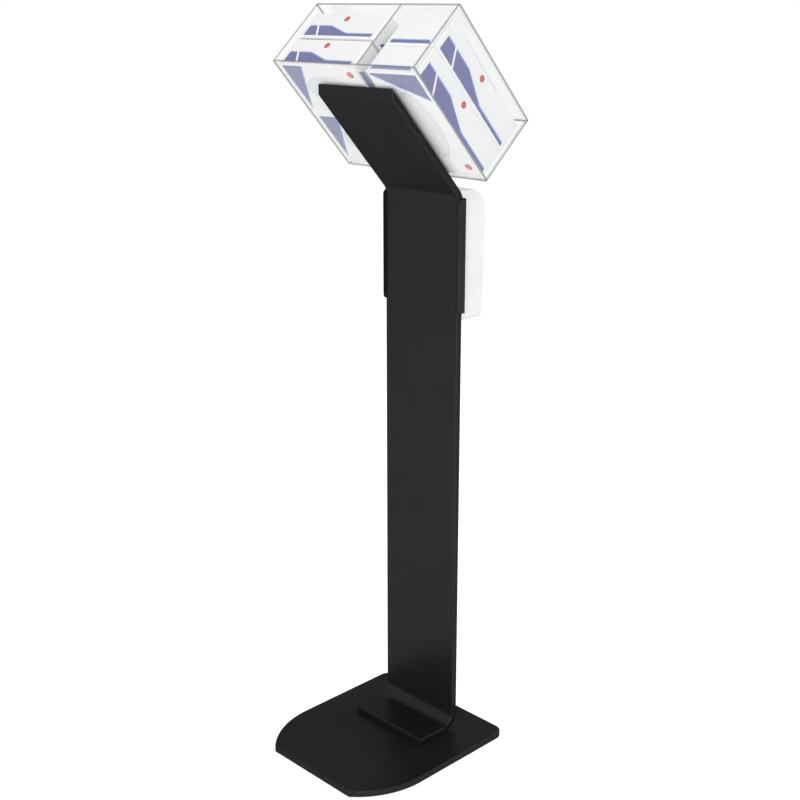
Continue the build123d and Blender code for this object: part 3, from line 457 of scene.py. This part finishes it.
def carton(name, length, width, x, s, n, upended):
    """Coated card with a plain print: bands with a pale edge, round tags and an oval tear-out."""
    m = Material("carton_" + name, Specular_IOR_Level=0.4)
    centre = ARM_ORIGIN + ARM_X * x + ARM_S * s + ARM_N * n
    local = m.split(m.place("TEXTURE", centre, (math.pi / 2 - TILT, 0, 0), (MM, MM, MM)))
    l, w, t = (local[1], local[0] * -1.0, local[2]) if upended else local
    along, across = (ARM_S, ARM_X) if upended else (ARM_X, ARM_S)
    large, side, end = m.faces(ARM_N), m.faces(across), m.faces(along)
    half_l, half_w, half_t = length / 2, width / 2, CARTON_T / 2
    off_edge = t > MARGIN - half_t

    # Side: a band that ramps up along the face, with a slanting gap
    rise = (l + length * 0.10).clamp(0.0, length * 0.26) * BAND_SLOPE
    band_y = t + half_t - BAND_H - rise
    gap = abs((l - t * 0.6) - length * 0.345) > BAND_GAP
    run = l.within(BAND_END - half_l, half_l - BAND_END)
    band = run.both(off_edge).both(gap).both(side)
    chip = disc(l - length * 0.02, t - half_t + CHIP_DROP, CHIP_R).both(side)

    # End: a level band with a slanting end
    tail = (w + t * 0.7 < width * 0.22).both(w > TAIL_END - half_w).both(end).both(off_edge)
    tail_y = t + half_t - TAIL_H

    # Large face: a wedge in one corner, a round tag and a dashed oval
    wedge = large.both(l < half_l - MARGIN).both(abs(w) < half_w - MARGIN)
    wedge_y = l + w * 0.5 - length * 0.36
    tag = disc(l + length * 0.40, w - width * 0.34, TAG_R).both(large)
    oval = ((l * (1 / (length * 0.31))).op("POWER", 2.0)
            + (w * (1 / (width * 0.27))).op("POWER", 2.0))
    dashes = (l.op("ARCTAN2", w) * DASHES).op("SINE") > -0.2
    tear = oval.within(OVAL_IN, OVAL_OUT).both(dashes).both(large)

    grain = m.noise(500.0, detail=3.0).span()
    colour = m.mix(grain, shade(CARD, 0.985), CARD)
    colour = m.mix(large.both(oval < OVAL_IN) * 0.5, colour, PALE_GREY)
    for area, inside, trim in ((band, band_y < 0.0, band_y.within(-BAND_TRIM, 0.0)),
                               (tail, tail_y < 0.0, tail_y.within(-BAND_TRIM, 0.0)),
                               (wedge, wedge_y > 0.0, wedge_y.within(-WEDGE_TRIM, 0.0))):
        colour = m.mix(area.both(inside), colour, SLATE)
        colour = m.mix(area.both(trim), colour, SKY)
    colour = m.mix(tag.either(chip), colour, TAG_RED)
    m.set("Base Color", m.mix(tear, colour, TEAR_GREY))
    m.set("Roughness", m.noise(90.0).span(0.38, 0.5))
    m.bump(m.noise(700.0, detail=3.0) * 0.3 - tear, 0.00025, 0.5, m.rounded(0.0007))
    return m


def dress_coated():
    """Coated, plated and blackened metal."""
    # the lighter edges of the base plate and post are a painted highlight
    dress(powder_coat("black_coat", grey=0.0235, painted_edge_grey=0.050, edge_r=0.0015),
          "base_plate", "post")
    # the bracket has the same black coat as the post, painted lighter for the light on its side;
    # its dark edges are a painted shadow line against the post
    dress(powder_coat("bracket_coat_painted_light", grey=0.0320, painted_edge_grey=0.004, edge_r=0.0030),
          "dispenser_bracket")
    dress(plated("zinc_steel", (0.62, 0.63, 0.64), rough=0.32, stretch=(2500, 2500, 60)),
          "holder_screws", "back_plate_screws", "cover_hinge_pins", "pump_rotor", "pump_motor")
    dress(plated("black_steel", (0.05, 0.05, 0.055), rough=0.4, stretch=(2500, 2500, 60)),
          "foot_screws", "bracket_screws")
    dress(plated("lock_chrome", (0.8, 0.8, 0.8), rough=0.12, stretch=(3000, 3000, 80)),
          "cover_lock")


def dress_plastics():
    """Moulded pieces, rubber, the board and the cells' sleeves."""
    dress(moulded("white_shell", (0.91, 0.91, 0.912), rough=0.42, grain=700.0, depth=0.000006,
                  Specular_IOR_Level=0.4),
          "dispenser_cover", "dispenser_back_plate", "pump_rollers", "power_switch_knob")
    dress(moulded("grey_moulding", (0.42, 0.43, 0.45), rough=0.5), "drive_chassis")
    dress(moulded("dark_moulding", (0.05, 0.05, 0.055), rough=0.45),
          "nozzle", "bottle_cap", "pump_body", "battery_case", "battery_lid", "power_switch")
    dress(moulded("smoke_window", (0.04, 0.045, 0.05), rough=0.12, grain=1500.0, depth=0.00001),
          "level_window", "sensor_lens")
    dress(moulded("pad_rubber", (0.03, 0.03, 0.03), rough=0.8, grain=500.0), "base_pads")
    dress(moulded("silicone", (0.78, 0.80, 0.78), rough=0.4, grain=400.0), "pump_tube")
    dress(moulded("board_green", (0.03, 0.16, 0.07), rough=0.35, grain=700.0), "control_board")
    dress(moulded("cell_sleeve", (0.05, 0.05, 0.06), rough=0.3), "battery_cells")


def dress_holder():
    """The clear holder and its cartons."""
    dress(clear_sheet("clear_sheet_n", ARM_N, ARM_X, ARM_S),
          "holder_back_panel", "holder_front_panel")
    dress(clear_sheet("clear_sheet_x", ARM_X, ARM_S),
          "holder_left_wall", "holder_right_wall", "holder_divider")
    dress(clear_sheet("clear_sheet_s", ARM_S), "holder_floor")
    for depth in ("rear", "front"):
        for level, s in WIDE_S.items():
            name = f"wide_carton_{depth}_{level}"
            dress(carton(name, WIDE_L, WIDE_W, WIDE_X, s, WIDE_N[depth], upended=False), name)
        name = f"tall_carton_{depth}"
        dress(carton(name, TALL_L, TALL_W, TALL_X, TALL_S, TALL_N[depth], upended=True), name)


def seen(tree):
    """1 for rays that show a background: camera, gloss and glass."""
    path = tree.nodes.new("ShaderNodeLightPath")
    camera, gloss, glass = (Expr(tree, path.outputs[f"Is {kind} Ray"])
                            for kind in ("Camera", "Glossy", "Transmission"))
    return camera.either(gloss).either(glass)


def make_floor():
    """Pale floor that keeps the shadow; only the camera, gloss and glass see its glow."""
    mesh = bpy.data.meshes.new("floor")
    corners = [(x * FLOOR_HALF, y * FLOOR_HALF, 0) for x, y in ((-1, -1), (1, -1), (1, 1), (-1, 1))]
    mesh.from_pydata(corners, [], [(0, 1, 2, 3)])
    floor = bpy.data.objects.new("floor", mesh)
    bpy.context.scene.collection.objects.link(floor)
    m = Material("floor", Base_Color=(0.82, 0.82, 0.82), Roughness=0.9, Specular_IOR_Level=0.0)
    m.set("Emission Color", WHITE)
    m.set("Emission Strength", seen(m.tree) * FLOOR_GLOW)
    mesh.materials.append(m.mat)


def make_world():
    """White surroundings that light the part less than they show."""
    world = bpy.data.worlds.new("studio")
    world.use_nodes = True
    tree = world.node_tree
    sky = tree.nodes["Background"]
    feed(tree, sky.inputs["Color"], WHITE)
    feed(tree, sky.inputs["Strength"], seen(tree) * SKY_SEEN + SKY_LIGHT)
    bpy.context.scene.world = world


def area_lamp(name, place, target, size, watts):
    lamp = bpy.data.lights.new(name, "AREA")
    lamp.shape, lamp.size, lamp.energy = "DISK", size, watts
    item = bpy.data.objects.new(name, lamp)
    item.location = place
    way = Vector(target) - Vector(place)
    item.rotation_euler = way.to_track_quat("-Z", "Y").to_euler()
    bpy.context.scene.collection.objects.link(item)


def make_camera():
    """The photo's view."""
    data = bpy.data.cameras.new("camera")
    data.sensor_width, data.lens = SENSOR_W, LENS
    camera = bpy.data.objects.new("camera", data)
    camera.location = CAMERA_PLACE
    camera.rotation_euler = Vector(CAMERA_WAY).to_track_quat("-Z", "Y").to_euler()
    bpy.context.scene.collection.objects.link(camera)
    bpy.context.scene.camera = camera


dress_coated()
dress_plastics()
dress_holder()
shade_round(*ROUND_STOCK)
shave("holder_back_panel", "holder_floor")
make_bottle()
make_floor()
make_world()
for lamp_row in LAMPS:
    area_lamp(*lamp_row)
make_camera()
bpy.context.scene.view_settings.view_transform = "Standard"
